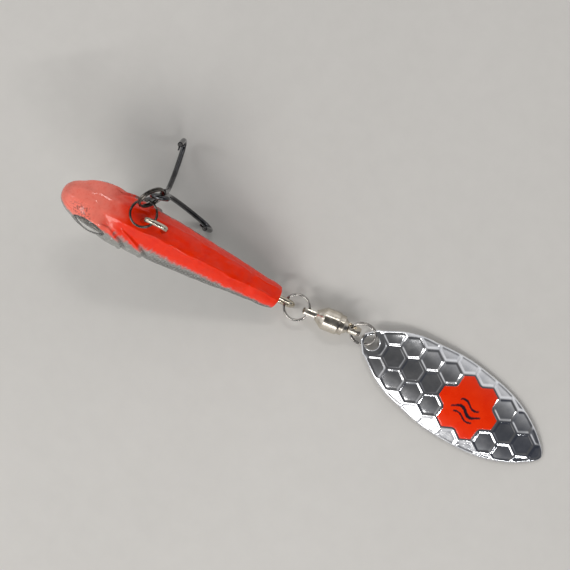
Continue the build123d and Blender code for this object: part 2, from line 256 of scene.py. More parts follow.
def metal(name, base, base2, rough=(0.08, 0.2), scale=900, bump=0.12, scratch=0.0, grime=None):
    k = N(name)
    v = k.coords()
    f = k.noise(v, scale, 4.0)
    k.l(k.ramp(f, [(0.3, base2), (0.7, base)]), k.b.inputs["Base Color"])
    if grime is not None:
        g = k.noise(v, scale * 0.35, 5.0, 0.7)
        gm = k.rng(g, 0.52, 0.72, 0.0, 0.55)
        k.l(k.mix(gm, k.b.inputs["Base Color"].links[0].from_socket, grime), k.b.inputs["Base Color"])
    k.l(k.rng(f, 0.3, 0.75, rough[0], rough[1]), k.b.inputs["Roughness"])
    k.set(Metallic=1.0)
    fine = k.noise(v, scale * 3.1, 2.0)
    nb = k.bump(fine, bump, 0.00002)
    if scratch:
        sv = k.coords("Object", (scale * 0.4, scale * 6.0, scale * 6.0))
        sc = k.noise(sv, 1.0, 2.0)
        nb = k.bump(sc, scratch, 0.00001, nb)
    k.l(nb, k.b.inputs["Normal"])
    return k.m


mat_black = metal("black_nickel", (0.15, 0.135, 0.12), (0.06, 0.055, 0.052), (0.10, 0.24), 700, 0.10, 0.05)
mat_hook = metal("hook_black_nickel", (0.11, 0.11, 0.115), (0.045, 0.045, 0.048), (0.08, 0.16), 600, 0.12, 0.05)
mat_braze = metal("hook_braze_plate", (0.26, 0.26, 0.26), (0.14, 0.14, 0.14), (0.28, 0.42), 900, 0.3)
mat_ring = metal("bright_nickel_ring", (0.52, 0.50, 0.47), (0.34, 0.32, 0.30), (0.07, 0.16), 800, 0.06, 0.05,
                 grime=(0.20, 0.18, 0.16))
mat_swivel = metal("swivel_warm_nickel", (0.74, 0.69, 0.60), (0.55, 0.50, 0.43), (0.12, 0.26), 900, 0.14, 0.10,
                   grime=(0.16, 0.13, 0.10))
mat_wire = metal("frame_wire_steel", (0.70, 0.64, 0.52), (0.46, 0.41, 0.33), (0.12, 0.26), 900, 0.12, 0.06,
                 grime=(0.14, 0.11, 0.08))
mat_ball = metal("bearing_ball_steel", (0.82, 0.82, 0.83), (0.7, 0.7, 0.71), (0.05, 0.1), 900, 0.03)


# ------------------------------------------------------------------ body mesh
ORANGE = np.array(srgb(246, 46, 0)); ORANGE_DK = np.array(srgb(238, 34, 0))
SALMON = np.array(srgb(248, 128, 110)); SALMON_DK = np.array(srgb(240, 100, 80))
SILVER = np.array(srgb(156, 157, 153)); SHADE = np.array(srgb(66, 66, 63))
BACK = np.array(srgb(40, 44, 50))


def fbm(p, sc, oct_=3, seed=0.0):
    out = np.empty(len(p))
    for i, q in enumerate(p):
        v = Vector((q[0] * sc + seed, q[1] * sc, q[2] * sc))
        out[i] = noise.fractal(v, 1.0, 2.0, oct_)
    return out


def gill_edge(b, pts):
    """Station of a cover's rear edge at height b on the flank."""
    pts = np.array(sorted(pts, key=lambda q: q[1]))
    return pchip(np.clip(b, pts[0, 1], pts[-1, 1]), pts[:, 1], pts[:, 0])


G1 = [(8.4, 4.4), (10.6, 3.8), (13.2, 2.3), (14.5, 0.2), (14.6, -1.8), (12.4, -4.0), (9.4, -4.8)]
G2 = [(12.2, 5.0), (14.8, 4.3), (17.4, 2.7), (18.9, 0.4), (18.9, -1.8), (16.4, -4.1), (12.8, -4.9)]
EYE_S, EYE_B, EYE_R = 7.0, 0.6, 3.3


def make_body():
    NS, NH = 430, 128
    hx, hy, hu = half_curve(NH)
    ss = np.r_[np.linspace(0.01, 1.0, 30) ** 2 * 2.0, np.linspace(2.0, 46.15, NS - 40)[1:],
               46.15 + 0.15 * np.sin(np.linspace(0, math.pi / 2, 8)[1:])]
    n = len(ss); m = 2 * (NH - 1)
    fx = np.r_[hx, -hx[-2:0:-1]]; fy = np.r_[hy, hy[-2:0:-1]]; fu = np.r_[hu, hu[-2:0:-1]]
    w, hb, hk = section_dims(ss)
    S = np.repeat(ss[:, None], m, 1)
    T = w[:, None] * fx[None]
    B = np.where(fy[None] > 0, hb[:, None] * fy[None], hk[:, None] * fy[None])
    U = np.repeat(fu[None], n, 0)
    # rounded rear end
    end = smooth(S, 46.15, 46.3)
    shrink = 1 - 0.10 * end
    T *= shrink; B *= shrink
    side = np.sign(T) + (T == 0)
    nt, nb_ = T / np.maximum(w[:, None], .3) ** 2, B / np.maximum(np.where(B > 0, hb[:, None], hk[:, None]), .3) ** 2
    nl = np.sqrt(nt ** 2 + nb_ ** 2) + 1e-9
    nt, nb_ = nt / nl, nb_ / nl
    D = np.zeros_like(S)
    flank = smooth(np.abs(T) / np.maximum(w[:, None], .3), 0.45, 0.75)
    # gill covers
    e1 = gill_edge(B, G1); e2 = gill_edge(B, G2)
    body_core = 1 - smooth(np.abs(B - 0.0), 4.2, 5.2)
    m1 = (1 - smooth(S, e1 - 0.25, e1 + 0.05)) * smooth(S, 5.0, 8.5) * flank * body_core
    m2 = (1 - smooth(S, e2 - 0.28, e2 + 0.05)) * smooth(S, 8.0, 12.0) * flank * body_core
    lip1 = np.exp(-((S - (e1 - 0.35)) / 0.35) ** 2) * flank * body_core
    lip2 = np.exp(-((S - (e2 - 0.40)) / 0.40) ** 2) * flank * body_core
    D += 0.27 * m1 + 0.24 * m2 + 0.12 * lip1 + 0.13 * lip2
    D -= 0.10 * np.exp(-((S - (e1 + 0.3)) / 0.35) ** 2) * flank * body_core
    D -= 0.12 * np.exp(-((S - (e2 + 0.35)) / 0.4) ** 2) * flank * body_core
    # crease between belly flat and flank, wavering a little along the body
    fr = np.abs(T) / np.maximum(w[:, None], .3)
    cr = 0.40 + 0.035 * np.sin(S * 0.55 + 0.6) + 0.02 * np.sin(S * 1.3)
    on_b = (B > 0) * smooth(S, 9, 13) * (1 - smooth(S, 45.2, 46.0)) * (1 - np.exp(-((S - 39.2) / 0.7) ** 2))
    D += 0.11 * np.exp(-((fr - cr) / 0.055) ** 2) * on_b
    # tail block: a shallow waist, then the block's own flat
    D -= 0.22 * np.exp(-((S - 39.2) / 0.9) ** 2) * (B > 0) * smooth(B / np.maximum(hb[:, None], .3), 0.3, 0.8)
    # mouth line on each flank, near the nose
    mouth = np.exp(-((B - (0.9 + 0.22 * S)) / 0.16) ** 2) * smooth(S, 0.4, 1.2) * (1 - smooth(S, 4.0, 5.0)) * flank
    D -= 0.20 * mouth
    # soft hand-cast waviness
    P = np.stack([S, T, B], -1).reshape(-1, 3)
    wav = fbm(P * np.array([1.0, 0.8, 0.8]), 0.33, 2, 3.1).reshape(S.shape)
    D += (0.12 * wav - 0.05) * smooth(S, 16, 22) * (1 - smooth(S, 43, 46))
    D += 0.03 * fbm(P, 0.9, 2, 9.0).reshape(S.shape)
    # scales: a raised diamond lattice behind the gills
    per = 1.15
    girth = U * 17.0
    a = (S + girth * 0.9) / per; c_ = (S - girth * 0.9) / per
    sc = np.abs((a % 1) - .5) + np.abs((c_ % 1) - .5)
    scale_zone = smooth(S - e2, 0.8, 2.5) * (1 - smooth(S, 44.2, 45.5)) * smooth(U, 0.24, 0.34) * (1 - smooth(U, .90, .97))
    D += 0.08 * (sc - 0.5) * scale_zone
    T2, B2 = T + nt * D, B + nb_ * D
    # seat the eyes: flatten the flank under each one, with a raised brow
    for sd in (1, -1):
        a_ = math.radians(9.0)
        nrm = np.array([-math.sin(a_), sd * math.cos(a_), 0]); o = np.array([EYE_S, sd * 3.95, EYE_B])
        tx = np.array([math.cos(a_), sd * math.sin(a_), 0])
        Q = np.stack([S, T2, B2], -1) - o
        h = Q @ nrm; r = np.hypot(Q @ tx, Q[..., 2])
        on = (np.sign(T2) == sd)
        target = np.where(r < EYE_R + 0.02, -0.24, 0.16 * np.exp(-((r - EYE_R - 0.25) / 0.35) ** 2) - 0.03)
        wgt = (1 - smooth(r, EYE_R + 0.35, EYE_R + 1.3)) * on
        dh = (target - h) * wgt
        S = S + dh * nrm[0]; T2 = T2 + dh * nrm[1]
    V = body_pt(S, T2, B2).reshape(-1, 3)
    F = []
    for i in range(n - 1):
        for j in range(m):
            k = (j + 1) % m
            F.append((i * m + j, (i + 1) * m + j, (i + 1) * m + k, i * m + k))
    nose_c = len(V); V = np.vstack([V, body_pt(0.0, 0, 0)[None], body_pt(46.3, 0, 0)[None]])
    for j in range(m):
        k = (j + 1) % m
        F.append((nose_c, j, k)); F.append((nose_c + 1, (n - 1) * m + k, (n - 1) * m + j))
    ob = new_obj("lure_body", V, F)
    # ---- paint, worked out per point in the body's own coordinates
    s_, t_, b_, u_ = (np.r_[x.ravel(), x[0, 0], x[-1, 0]] for x in (S, T2, B2, U))
    hbv = np.r_[np.repeat(hb[:, None], m, 1).ravel(), 1, 1]
    e1v, e2v = (np.r_[x.ravel(), 20, 0] for x in (e1, e2))
    q = np.stack([s_, t_, b_], 1)
    streak = fbm(q * np.array([1.9, 0.35, 0.35]), 0.9, 4, 1.0)
    cloud = fbm(q, 0.55, 3, 5.0); fine = fbm(q, 2.3, 3, 8.0)
    uu = u_
    # lower edge of the orange, as a fraction of the half girth from the belly line
    edge = np.interp(s_, [0, 6, 9, 12, 15, 18, 21, 26, 32, 38, 43, 46.3],
                     [0.55, 0.40, 0.31, 0.31, 0.33, 0.31, 0.325, 0.345, 0.36, 0.39, 0.42, 0.46])
    org = 1 - smooth(uu + 0.045 * streak + 0.02 * cloud, edge - 0.06, edge + 0.055)
    # red run along the gill slits
    run1 = np.exp(-((s_ - (e1v - 0.9)) / 0.9) ** 2) * smooth(b_, 1.9, 3.2)
    run2 = np.exp(-((s_ - (e2v - 0.9)) / 0.9) ** 2) * smooth(b_, 1.7, 3.0)
    org = np.clip(org + 0.9 * np.maximum(run1, run2) * (uu < 0.5), 0, 1)
    sal = (1 - smooth(s_ + 1.2 * cloud, 6.5, 12.5))
    back = smooth(uu + 0.03 * streak, 0.66, 0.84)
    gridl = np.abs(((s_ + uu * 15.3) / 1.15) % 1 - .5) + np.abs(((s_ - uu * 15.3) / 1.15) % 1 - .5)
    base = SILVER[None] * (1 + 0.10 * fine[:, None])
    dark = np.clip(0.75 * smooth(uu, 0.34, 0.50) + 0.35 * smooth(fine, 0.1, 0.5), 0, 1)
    dark *= smooth(s_, 16, 22) * 0.9 + 0.1
    spot = smooth(np.abs(gridl - 0.5), 0.0, 0.32)
    dark = np.clip(dark * (0.35 + 0.9 * (1 - spot)), 0, 1)
    base = base * (1 - dark[:, None]) + SHADE[None] * dark[:, None]
    # painted shade: a dark grey-brown band in the groove just behind each gill cover's rear edge stands in for the
    # shade that the cover's step casts there; the foil is dimmed under it too
    gill_groove_shade = np.exp(-((s_ - (e1v + 0.25)) / 0.3) ** 2) + np.exp(-((s_ - (e2v + 0.3)) / 0.35) ** 2)
    gill_groove_shade = np.clip(gill_groove_shade * (np.abs(t_) > 2.6) * (uu > 0.26), 0, 1) * 0.75
    base = base * (1 - gill_groove_shade[:, None]) + np.array(srgb(70, 66, 62))[None] * gill_groove_shade[:, None]
    base = base * (1 - back[:, None]) + BACK[None] * back[:, None]
    oc = ORANGE[None] * (1 - 0.5 * smooth(cloud, 0.0, 0.6)[:, None]) + ORANGE_DK[None] * (0.5 * smooth(cloud, 0.0, 0.6)[:, None])
    sc_ = SALMON[None] * (1 - smooth(fine, 0, .7)[:, None] * .4) + SALMON_DK[None] * (smooth(fine, 0, .7)[:, None] * .4)
    paint = oc * (1 - sal[:, None]) + sc_ * sal[:, None]
    rgb = base * (1 - org[:, None]) + paint * org[:, None]
    # dark peppering beside the right eye and on the jaw
    near = np.exp(-((s_ - 4.6) / 3.0) ** 2) * np.exp(-((b_ - 3.0) / 1.5) ** 2)
    pep = smooth(fbm(q, 3.3, 2, 20.0) + 0.55 * near, 0.42, 0.62) * smooth(near, 0.15, 0.5) * smooth(-t_, 1.0, 2.4) * 0.6
    rgb = rgb * (1 - pep[:, None]) + np.array(srgb(92, 66, 60))[None] * pep[:, None]
    lips = np.exp(-((s_ - 0.4) / 0.8) ** 2) * 0.25
    rgb = rgb * (1 - lips[:, None]) + np.array(srgb(120, 80, 72))[None] * lips[:, None]
    col_attr(ob, "paint", np.clip(rgb, 0, 1))
    attr(ob, "foil", np.clip((1 - org) * (1 - back * 0.8) * (1 - 0.5 * gill_groove_shade), 0, 1))
    attr(ob, "orange", org * (1 - sal))
    uv = ob.data.uv_layers.new(name="UVMap")
    uvv = np.stack([s_ / 46.3, uu * np.sign(t_ + 1e-9) * 0.5 + 0.5], 1)
    li = np.empty(len(ob.data.loops), int); ob.data.loops.foreach_get("vertex_index", li)
    uv.data.foreach_set("uv", uvv[li].ravel().tolist())
    return ob


body = make_body()
k = N("painted_lure_body")
pa = k.attr("paint"); fo = k.attr("foil"); og = k.attr("orange")
v = k.coords()
mott = k.noise(v, 420, 5.0, 0.6)
spk = k.noise(v, 2600, 2.0)
c = k.mix(k.rng(mott, 0.35, 0.75, 0.0, 0.10), pa.outputs["Color"], (0.02, 0.012, 0.01), "MIX")
glint = k.mix(k.math("MULTIPLY", k.rng(spk, 0.58, 0.72, 0.0, 0.6), fo.outputs["Fac"]), c, (0.92, 0.92, 0.9))
k.l(glint, k.b.inputs["Base Color"])
k.l(k.math("MULTIPLY", fo.outputs["Fac"], 0.62), k.b.inputs["Metallic"])
k.l(k.rng(mott, 0.3, 0.7, 0.22, 0.40), k.b.inputs["Roughness"])
k.set(Coat_Weight=0.6, Coat_Roughness=0.03, Coat_IOR=1.5, Specular_IOR_Level=0.05)
flake = k.n("ShaderNodeTexVoronoi", feature="F1")
flake.inputs["Scale"].default_value = 1500
k.l(v, flake.inputs["Vector"])
nb = k.bump(flake.outputs["Distance"], 0.05, 0.00005)
k.l(nb, k.b.inputs["Normal"])
drip = k.noise(v, 170, 2.0)
k.l(k.bump(drip, 0.22, 0.00022), k.b.inputs["Coat Normal"])
set_mat(body, k.m)
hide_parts("body_casting"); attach(body, "body")


# ------------------------------------------------------------------------ eyes
def make_eye(sd, tag):
    a_ = math.radians(9.0)
    nrm = np.array([-math.sin(a_), sd * math.cos(a_), 0.0]); o = np.array([EYE_S, sd * 3.95, EYE_B])
    tx = np.array([math.cos(a_), sd * math.sin(a_), 0.0]); tz = np.array([0, 0, 1.0])

    def P(r, th, h):
        q = o + nrm * h + tx * (r * math.cos(th)) + tz * (r * math.sin(th))
        return body_pt(q[0], q[1], q[2])

    NR, NA = 36, 96
    V = [P(0, 0, -0.06)]; R = [0.0]
    for i in range(1, NR + 1):
        r = 3.26 * i / NR
        h = -0.06 - 0.05 * smooth(r, 0.9, 1.35) + 0.04 * smooth(r, 2.3, 2.6)
        for j in range(NA):
            V.append(P(r, 2 * math.pi * j / NA, float(h))); R.append(r / 3.26)
    for j in range(NA):
        V.append(P(3.26, 2 * math.pi * j / NA, -0.24)); R.append(1.0)
    F = [(0, 1 + j, 1 + (j + 1) % NA) for j in range(NA)]
    for i in range(NR):
        for j in range(NA):
            k_ = (j + 1) % NA
            F.append((1 + i * NA + j, 1 + (i + 1) * NA + j, 1 + (i + 1) * NA + k_, 1 + i * NA + k_))
    F = [f if sd < 0 else f[::-1] for f in F]
    foil = new_obj("eye_foil_" + tag, V, F)
    attr(foil, "rad", R)
    ang = [0.0] + [2 * math.pi * j / NA for i in range(NR + 1) for j in range(NA)]
    attr(foil, "ca", np.cos(ang)); attr(foil, "sa", np.sin(ang))
    # clear dome
    rs = (3.22 ** 2 + 0.93 ** 2) / (2 * 0.93)
    V = [P(0, 0, 0.93)]; ND = 22
    for i in range(1, ND + 1):
        r = 3.22 * i / ND
        h = math.sqrt(rs * rs - r * r) - (rs - 0.93)
        for j in range(NA):
            V.append(P(r, 2 * math.pi * j / NA, h))
    for j in range(NA):
        V.append(P(3.22, 2 * math.pi * j / NA, 0.004))
    V.append(P(0, 0, 0.004))
    F = [(0, 1 + j, 1 + (j + 1) % NA) for j in range(NA)]
    for i in range(ND):
        for j in range(NA):
            k_ = (j + 1) % NA
            F.append((1 + i * NA + j, 1 + (i + 1) * NA + j, 1 + (i + 1) * NA + k_, 1 + i * NA + k_))
    last = len(V) - 1
    for j in range(NA):
        F.append((1 + ND * NA + j, last, 1 + ND * NA + (j + 1) % NA))
    F = [f if sd < 0 else f[::-1] for f in F]
    dome = new_obj("eye_dome_" + tag, V, F)
    return foil, dome


k = N("eye_foil_print")
r = k.attr("rad").outputs["Fac"]
v = k.coords()
nz = k.noise(v, 1500, 3.0)
comb = k.n("ShaderNodeCombineXYZ")
k.l(k.attr("ca").outputs["Fac"], comb.inputs[0]); k.l(k.attr("sa").outputs["Fac"], comb.inputs[1])
rays = k.noise(comb.outputs[0], 9.0, 4.0, 0.7)
iris = k.ramp(r, [(0.0, (0.002, 0.002, 0.003)), (0.44, (0.002, 0.002, 0.003)), (0.47, (0.10, 0.085, 0.065)),
                  (0.56, (0.34, 0.31, 0.26)), (0.66, (0.26, 0.23, 0.19)), (0.72, (0.012, 0.012, 0.012)),
                  (0.93, (0.010, 0.010, 0.010)), (0.98, (0.05, 0.05, 0.05)), (1.0, (0.03, 0.03, 0.03))])
mx = k.mix(k.rng(rays, 0.35, 0.7, 0.0, 0.55), iris, (0.10, 0.085, 0.07))
k.l(mx, k.b.inputs["Base Color"])
k.l(k.ramp(r, [(0.0, (0, 0, 0)), (0.45, (0, 0, 0)), (0.48, (0.9, 0.9, 0.9)), (0.66, (0.9, 0.9, 0.9)), (0.71, (0, 0, 0))]),
    k.b.inputs["Metallic"])
k.l(k.rng(nz, 0.3, 0.7, 0.18, 0.34), k.b.inputs["Roughness"])
k.l(k.bump(rays, 0.3, 0.00006), k.b.inputs["Normal"])
mat_foil = k.m
k = N("eye_dome_resin")
k.set(Base_Color=(0.97, 0.97, 0.96, 1), Roughness=0.02, IOR=1.48, Transmission_Weight=1.0)
k.l(k.rng(k.noise(k.coords(), 500, 2.0), 0.3, 0.7, 0.01, 0.05), k.b.inputs["Roughness"])
mat_dome = k.m
for sd, tag, side in ((-1, "right", "right"), (1, "left", "left")):
    foil, dome = make_eye(sd, tag)
    set_mat(foil, mat_foil); set_mat(dome, mat_dome)
    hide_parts(side + "_eye_foil"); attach(foil, "body")
    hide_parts(side + "_eye_dome"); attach(dome, "body")

# ----------------------------------------------------------------------- blade
HOLE = np.array([20.1, -2.5, 0.742])
BA, BP = math.radians(-7.7), math.radians(1.52)
LX = np.array([math.cos(BA) * math.cos(BP), math.sin(BA) * math.cos(BP), -math.sin(BP)])
LZ = np.array([math.cos(BA) * math.sin(BP), math.sin(BA) * math.sin(BP), math.cos(BP)])
LY = np.cross(LZ, LX)
OUT = np.array([(-2.2, 0), (-2.05, 0.75), (-1.5, 1.4), (-0.3, 2.8), (0.4, 3.1), (4.0, 5.3), (7.9, 6.8), (10.9, 7.3), (15.4, 8.0),
                (19.0, 8.2), (23.8, 7.9), (27.6, 7.4), (31.5, 6.3), (35.5, 4.35), (38.0, 2.6), (39.6, 1.2), (40.2, 0)])
RT, RL, THK, HR = 16.0, 116.0, 0.55, 1.5
PITCH, RIDGE, DEPTH, HU = 4.33, 0.62, 0.13, 22.5


def blade_pt(u, v_, z):
    u, v_, z = (np.asarray(a, float)[..., None] for a in (u, v_, z))
    return row(HOLE + u * LX + v_ * LY + z * LZ)


def crown(u, v_):
    """Height of the spoon's face over its datum, a torus like the CAD one."""
    rr = RL - RT
    ring = rr + np.sqrt(np.maximum(RT ** 2 - v_ ** 2, 0))
    return 2.75 - RL + np.sqrt(np.maximum(ring ** 2 - (u - 19.5) ** 2, 0))


def rim_curve(n=520):
    """Smooth closed outline as (u, v), starting at the hole end."""
    P = np.vstack([OUT, [(u, -w) for u, w in OUT[-2:0:-1]]])
    m = len(P); out = []
    for i in range(m):
        p0, p1, p2, p3 = P[i - 1], P[i], P[(i + 1) % m], P[(i + 2) % m]
        # centripetal Catmull-Rom
        t0 = 0; t1 = t0 + np.linalg.norm(p1 - p0) ** .5; t2 = t1 + np.linalg.norm(p2 - p1) ** .5
        t3 = t2 + np.linalg.norm(p3 - p2) ** .5
        for t in np.linspace(t1, t2, 24, endpoint=False):
            a1 = (t1 - t) / (t1 - t0) * p0 + (t - t0) / (t1 - t0) * p1
            a2 = (t2 - t) / (t2 - t1) * p1 + (t - t1) / (t2 - t1) * p2
            a3 = (t3 - t) / (t3 - t2) * p2 + (t - t2) / (t3 - t2) * p3
            b1 = (t2 - t) / (t2 - t0) * a1 + (t - t0) / (t2 - t0) * a2
            b2 = (t3 - t) / (t3 - t1) * a2 + (t - t1) / (t3 - t1) * a3
            out.append((t2 - t) / (t2 - t1) * b1 + (t - t1) / (t2 - t1) * b2)
    out = np.array(out)
    d = np.r_[0, np.cumsum(np.linalg.norm(np.diff(np.vstack([out, out[:1]]), axis=0), axis=1))]
    u = np.linspace(0, d[-1], n, endpoint=False)
    oc = np.vstack([out, out[:1]])
    return np.stack([np.interp(u, d, oc[:, 0]), np.interp(u, d, oc[:, 1])], 1)


RIM = rim_curve()


def hex_info(u, v_):
    """Nearest cell: centre and distance from the cell's wall (positive inside)."""
    u, v_ = np.asarray(u, float), np.asarray(v_, float)
    rowh = PITCH * math.sqrt(3) / 2
    best = np.full(u.shape, 1e9); cu = np.zeros_like(u); cv = np.zeros_like(u)
    j0 = np.round(v_ / rowh)
    for dj in (-1, 0, 1):
        j = j0 + dj
        off = HU + PITCH * 0.5 * j
        i = np.round((u - off) / PITCH)
        for di in (-1, 0, 1):
            c_u, c_v = off + (i + di) * PITCH, j * rowh
            d = (u - c_u) ** 2 + (v_ - c_v) ** 2
            t = d < best
            best = np.where(t, d, best); cu = np.where(t, c_u, cu); cv = np.where(t, c_v, cv)
    x, y = u - cu, v_ - cv
    # walls face the six neighbours, one of them along u
    wall = np.full(u.shape, 1e9)
    for a in range(0, 180, 60):
        ca, sa = math.cos(math.radians(a)), math.sin(math.radians(a))
        wall = np.minimum(wall, PITCH / 2 - np.abs(x * ca + y * sa))
    return cu, cv, wall


def flower_outline(grow=0.0):
    """Outline of the tray: the middle cell and its six neighbours as one."""
    r = (PITCH - RIDGE) / math.sqrt(3) + grow
    return np.array([(HU + PITCH * math.cos(math.radians(q)) + r * math.cos(math.radians(q + a)),
                      PITCH * math.sin(math.radians(q)) + r * math.sin(math.radians(q + a)))
                     for q in range(0, 360, 60) for a in (-90, -30, 30, 90)])


def inside_poly(x, y, P):
    ins = np.zeros(np.shape(x), bool)
    for a, b in zip(P, np.roll(P, -1, 0)):
        ins ^= ((a[1] > y) != (b[1] > y)) & (x < (b[0] - a[0]) * (y - a[1]) / (b[1] - a[1] + 1e-12) + a[0])
    return ins


def poly_dist(x, y, P):
    d = np.full(np.shape(x), 1e9)
    for a, b in zip(P, np.roll(P, -1, 0)):
        ab = b - a
        t = np.clip(((x - a[0]) * ab[0] + (y - a[1]) * ab[1]) / (ab @ ab), 0, 1)
        d = np.minimum(d, np.hypot(x - a[0] - t * ab[0], y - a[1] - t * ab[1]))
    return d


def rim_dist(u, v_):
    d = np.full(np.shape(u), 1e9)
    A = RIM; B_ = np.roll(RIM, -1, 0)
    for a, b in zip(A[::2], A[np.r_[2:len(A):2, 0]]):
        ab = b - a; L = ab @ ab
        t = np.clip(((u - a[0]) * ab[0] + (v_ - a[1]) * ab[1]) / L, 0, 1)
        d = np.minimum(d, np.hypot(u - a[0] - t * ab[0], v_ - a[1] - t * ab[1]))
    return d


def make_blade():
    step = 0.16
    us = np.arange(-2.4, 40.5, step); vs = np.arange(-8.5, 8.6, step)
    # concentric rows follow the rim exactly, a grid fills the middle
    from mathutils.geometry import delaunay_2d_cdt
    pts = []; edges = []
    ctr = np.array([19.0, 0.0])

    def inset(P, d):
        t = np.roll(P, -1, 0) - np.roll(P, 1, 0)
        t /= np.linalg.norm(t, axis=1)[:, None]
        nrm = np.stack([t[:, 1], -t[:, 0]], 1)
        s_ = np.sign(((ctr - P) * nrm).sum(1)).mean()
        return P + nrm * d * (1 if s_ > 0 else -1)

    rings_ = [RIM, inset(RIM, 0.06), inset(RIM, 0.16), inset(RIM, 0.32), inset(RIM, 0.5)]
    n0 = len(RIM)
    for r_ in rings_:
        b = len(pts); pts += [tuple(p) for p in r_]
        if r_ is rings_[0]:
            edges += [(b + i, b + (i + 1) % n0) for i in range(n0)]
    hole0 = len(pts); NHO = 96
    for rr in (HR, HR + 0.06, HR + 0.15, HR + 0.3):
        b = len(pts)
        pts += [(rr * math.cos(2 * math.pi * i / NHO), rr * math.sin(2 * math.pi * i / NHO)) for i in range(NHO)]
        if rr == HR:
            edges += [(b + i, b + (i + 1) % NHO) for i in range(NHO)]
    G = np.array([(u, v_) for u in us for v_ in vs])
    d = rim_dist(G[:, 0], G[:, 1])
    inside = np.zeros(len(G), bool)
    # point in polygon
    x, y = G[:, 0], G[:, 1]; P = RIM; Q = np.roll(RIM, -1, 0)
    for a, b in zip(P, Q):
        c_ = ((a[1] > y) != (b[1] > y)) & (x < (b[0] - a[0]) * (y - a[1]) / (b[1] - a[1] + 1e-12) + a[0])
        inside ^= c_
    keep = inside & (d > 0.6) & (np.hypot(x, y) > HR + 0.4)
    pts += [tuple(p) for p in G[keep]]
    res = delaunay_2d_cdt([Vector(p) for p in pts], edges, [], 0, 1e-6)
    co = np.array([tuple(p) for p in res[0]]); tri = np.array([tuple(f) for f in res[2] if len(f) == 3])
    cen = co[tri].mean(1)
    x, y = cen[:, 0], cen[:, 1]; ins = np.zeros(len(cen), bool)
    for a, b in zip(P, Q):
        ins ^= ((a[1] > y) != (b[1] > y)) & (x < (b[0] - a[0]) * (y - a[1]) / (b[1] - a[1] + 1e-12) + a[0])
    tri = tri[ins & (np.hypot(x, y) > HR * 0.999)]
    used = np.unique(tri); remap = -np.ones(len(co), int); remap[used] = np.arange(len(used))
    co = co[used]; tri = remap[tri]
    # wind upward
    a, b, c_ = co[tri[:, 0]], co[tri[:, 1]], co[tri[:, 2]]
    ar = (b[:, 0] - a[:, 0]) * (c_[:, 1] - a[:, 1]) - (b[:, 1] - a[:, 1]) * (c_[:, 0] - a[:, 0])
    tri[ar < 0] = tri[ar < 0][:, ::-1]
    u, v_ = co[:, 0], co[:, 1]
    rd = rim_dist(u, v_); hd = np.hypot(u, v_) - HR
    z = crown(u, v_)
    cu, cv, wall = hex_info(u, v_)
    # flat floor of each pan: the tangent plane at its centre
    e = 0.01
    z0 = crown(cu, cv); gu = (crown(cu + e, cv) - z0) / e; gv = (crown(cu, cv + e) - z0) / e
    flat = z0 + gu * (u - cu) + gv * (v_ - cv) - 0.02
    sag = np.minimum(z - 0.02, flat)
    FP = flower_outline()
    fin = inside_poly(u, v_, FP); fd = poly_dist(u, v_, FP)
    sd = np.where(fin, fd, -fd)                     # signed distance into the tray
    near = np.hypot(u - HU, v_) < PITCH * 1.75
    wall = np.where(sd > -RIDGE * 0.45, RIDGE * 0.5 + sd, wall)
    in_tray = sd > -RIDGE * 0.45
    pan = smooth(wall, RIDGE * 0.34, RIDGE * 0.5 + 0.14)
    ridge_round = 0.05 * (1 - np.clip(wall / (RIDGE * 0.5), 0, 1) ** 2)
    edge_keep = smooth(rd, 0.34, 0.62) * smooth(hd, 0.75, 1.1)
    floor_z = np.where(in_tray, z, z - 0.35 * (z - sag)) - DEPTH
    zz = z + ridge_round * edge_keep - 0.05
    zz = zz * (1 - pan * edge_keep) + floor_z * pan * edge_keep
    # rolled edge
    zz -= 0.16 * (1 - smooth(rd, 0.0, 0.30)) ** 2 + 0.10 * (1 - smooth(hd, 0.0, 0.22)) ** 2
    top = blade_pt(u, v_, zz)
    zb = z - THK + 0.10 * (1 - smooth(rd, 0.0, 0.3)) ** 2 + 0.06 * (1 - smooth(hd, 0, 0.2)) ** 2
    # the back shows the pattern faintly, as pressed sheet does
    zb = zb - 0.03 * pan * edge_keep + 0.03 * edge_keep
    bot = blade_pt(u, v_, zb)
    n = len(co)
    V = np.vstack([top, bot])
    F = [tuple(t) for t in tri] + [tuple((t + n)[::-1]) for t in tri]
    # side walls along the boundary edges
    from collections import Counter
    E = Counter()
    for t in tri:
        for i in range(3):
            a_, b_ = int(t[i]), int(t[(i + 1) % 3])
            E[(a_, b_)] += 1
    for (a_, b_) in list(E):
        if (b_, a_) not in E:
            F.append((a_, a_ + n, b_ + n, b_))
    ob = new_obj("spinner_blade", V, F)
    cell = np.sin(cu * 12.9898 + cv * 78.233) * 43758.5453
    cell = cell - np.floor(cell)
    attr(ob, "cell", np.r_[cell, cell]); attr(ob, "pan", np.r_[pan * edge_keep, 0 * pan])
    return ob


blade = make_blade()
k = N("blade_mirror_plate")
v = k.coords()
pan = k.attr("pan").outputs["Fac"]; cell = k.attr("cell").outputs["Fac"]
f = k.noise(v, 500, 4.0)
c1 = k.ramp(f, [(0.3, (0.62, 0.63, 0.66)), (0.7, (0.80, 0.80, 0.81))])
sm = k.noise(v, 160, 4.0, 0.6)
c2 = k.mix(k.rng(sm, 0.5, 0.75, 0.0, 0.30), c1, (0.42, 0.41, 0.40))
# painted reflection: each pan floor is darkened by its own random amount, standing in for the differing brightness that
# the tilted pans reflect
pan_reflection_col = k.mix(k.math("MULTIPLY", pan, k.rng(cell, 0.0, 1.0, 0.0, 0.22)), c2, (0.50, 0.51, 0.53))
k.l(pan_reflection_col, k.b.inputs["Base Color"])
k.set(Metallic=1.0)
k.l(k.rng(f, 0.3, 0.75, 0.06, 0.17), k.b.inputs["Roughness"])
hz = k.noise(v, 2400, 3.0)
n1 = k.bump(hz, 0.06, 0.00002)
n2 = k.bump(k.noise(v, 260, 2.0), 0.10, 0.00008, n1)
k.l(n2, k.b.inputs["Normal"])
set_mat(blade, k.m)
